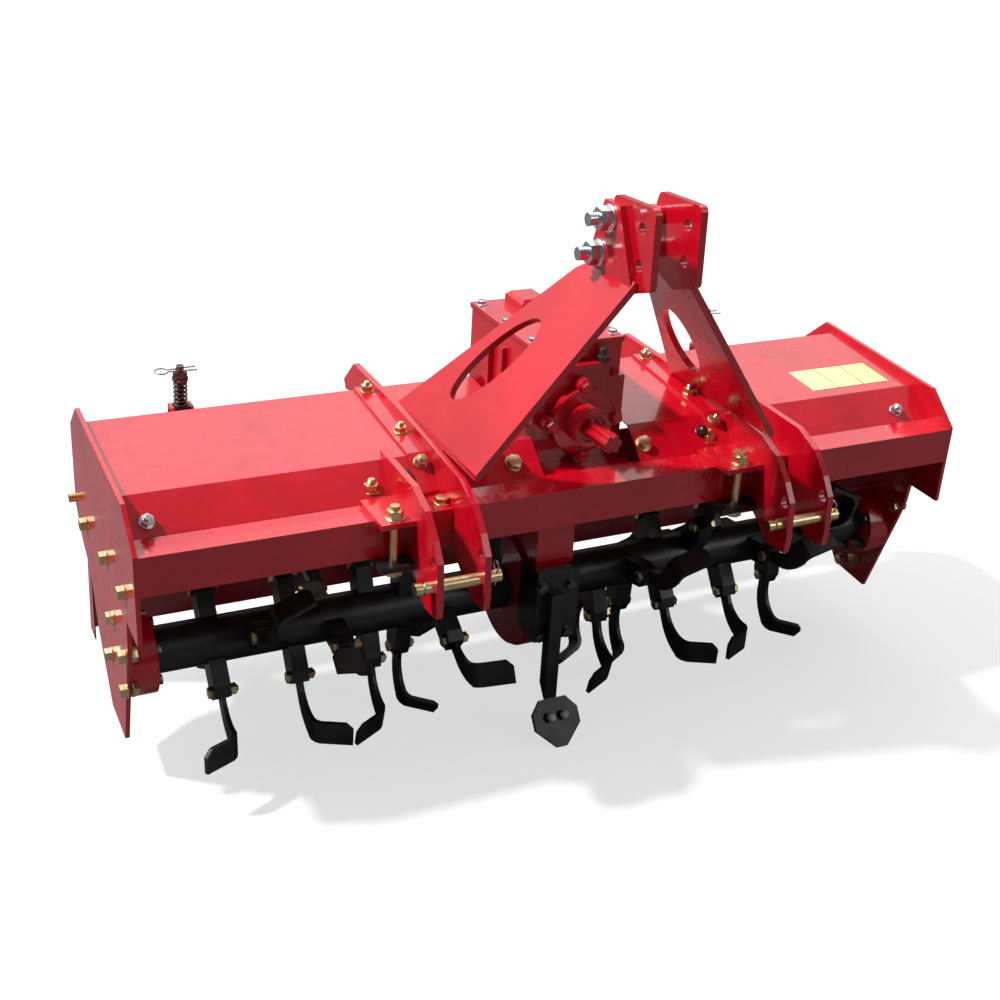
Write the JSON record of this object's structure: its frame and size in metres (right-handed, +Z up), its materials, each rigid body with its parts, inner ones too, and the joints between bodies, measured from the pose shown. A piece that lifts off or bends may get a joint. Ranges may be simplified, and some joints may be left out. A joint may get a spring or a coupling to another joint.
{
  "type": "rotary tiller",
  "caption": "Tractor-mounted rotary tiller with red hood, three-point hitch mast, centre gearbox, tined black rotor, levelling board and front point.",
  "frame": {"origin": "on the ground under the middle of the whole machine, 20 mm behind the rotor's axis", "axes": "+X along the rotor, to the right of someone who faces the hitch; +Y from the hitch to the levelling board; +Z up"},
  "size_m": [1.644, 0.682, 1.0414],
  "materials": {
    "red_paint": "gloss",
    "black_paint": "satin",
    "yellow_zinc": "satin",
    "silver_zinc": "satin",
    "splined_steel": "gloss",
    "dark_steel": "satin"
  },
  "bodies": {
    "frame": {"front_beam": "red_paint", "deck_panel": "red_paint", "rear_panel": "red_paint", "gearbox_bed": "red_paint", "rod_guide_lugs": "red_paint", "mast_spacers": "red_paint", "gearbox": "red_paint", "gearbox_cover": "red_paint", "input_cap": "red_paint", "drive_case": "red_paint", "case_cover": "red_paint", "board_hinge_pins": "yellow_zinc", "mast_bolts": "silver_zinc", "shovel_bracket": "black_paint", "shovel_shank": "black_paint", "shovel_point": "black_paint", "end_plate_left": "red_paint", "bearing_housing_left": "red_paint", "lug_plate_inner_left": "red_paint", "lug_plate_outer_left": "red_paint", "deck_strip_left": "red_paint", "beam_clamp_top_left": "red_paint", "mast_plate_left": "red_paint", "top_link_ear_left": "red_paint", "beam_clamp_bottom_left": "black_paint", "lower_pin_left": "yellow_zinc", "beam_clamp_bolt_left": "yellow_zinc", "end_plate_right": "red_paint", "bearing_housing_right": "red_paint", "lug_plate_inner_right": "red_paint", "lug_plate_outer_right": "red_paint", "deck_strip_right": "red_paint", "beam_clamp_top_right": "red_paint", "mast_plate_right": "red_paint", "top_link_ear_right": "red_paint", "beam_clamp_bottom_right": "black_paint", "lower_pin_right": "yellow_zinc", "beam_clamp_bolt_right": "yellow_zinc"},
    "rotor": {"rotor_tube_left": "black_paint", "tines_left": "black_paint", "rotor_tube_right": "black_paint", "tines_right": "black_paint"},
    "input_shaft": {"input_shaft": "splined_steel"},
    "levelling_board": {"board_panel": "red_paint", "board_cheeks": "red_paint", "board_lugs": "red_paint", "board_eye_pins": "yellow_zinc"},
    "left_rod": {"spring_rod_left": "dark_steel"},
    "left_swivel": {"rod_swivel_left": "black_paint", "rod_spring_left": "dark_steel"},
    "right_rod": {"spring_rod_right": "dark_steel"},
    "right_swivel": {"rod_swivel_right": "black_paint", "rod_spring_right": "dark_steel"}
  },
  "joints": [
    {"name": "rotor_spin", "type": "hinge", "parent": "frame", "child": "rotor", "pos_m": [0, -0.02, 0.235], "axis": [1, 0, 0], "continuous": true},
    {"name": "input_spin", "type": "hinge", "parent": "frame", "child": "input_shaft", "pos_m": [0.033, -0.14, 0.588], "axis": [0, 1, 0], "continuous": true},
    {"name": "board_swing", "type": "hinge", "parent": "frame", "child": "levelling_board", "pos_m": [0, 0.27, 0.406], "axis": [1, 0, 0], "range_deg": [0, 35]},
    {"name": "left_rod_eye", "type": "hinge", "parent": "levelling_board", "child": "left_rod", "pos_m": [-0.603, 0.327, 0.252], "axis": [1, 0, 0], "range_deg": [-16.44, 1]},
    {"name": "left_swivel_turn", "type": "hinge", "parent": "frame", "child": "left_swivel", "pos_m": [-0.603, 0.302, 0.538], "axis": [1, 0, 0], "range_deg": [-1, 20.56]},
    {"name": "right_rod_eye", "type": "hinge", "parent": "levelling_board", "child": "right_rod", "pos_m": [0.54, 0.327, 0.252], "axis": [1, 0, 0], "range_deg": [-16.44, 1]},
    {"name": "right_swivel_turn", "type": "hinge", "parent": "frame", "child": "right_swivel", "pos_m": [0.54, 0.302, 0.538], "axis": [1, 0, 0], "range_deg": [-1, 20.56]}
  ],
  "couplings": [
    {"joint": "input_spin", "follows": "rotor_spin", "ratio": 2.6},
    {"joint": "left_rod_eye", "follows": "board_swing", "ratio": -0.4411},
    {"joint": "left_swivel_turn", "follows": "board_swing", "ratio": 0.5589},
    {"joint": "right_rod_eye", "follows": "board_swing", "ratio": -0.4411},
    {"joint": "right_swivel_turn", "follows": "board_swing", "ratio": 0.5589}
  ]
}
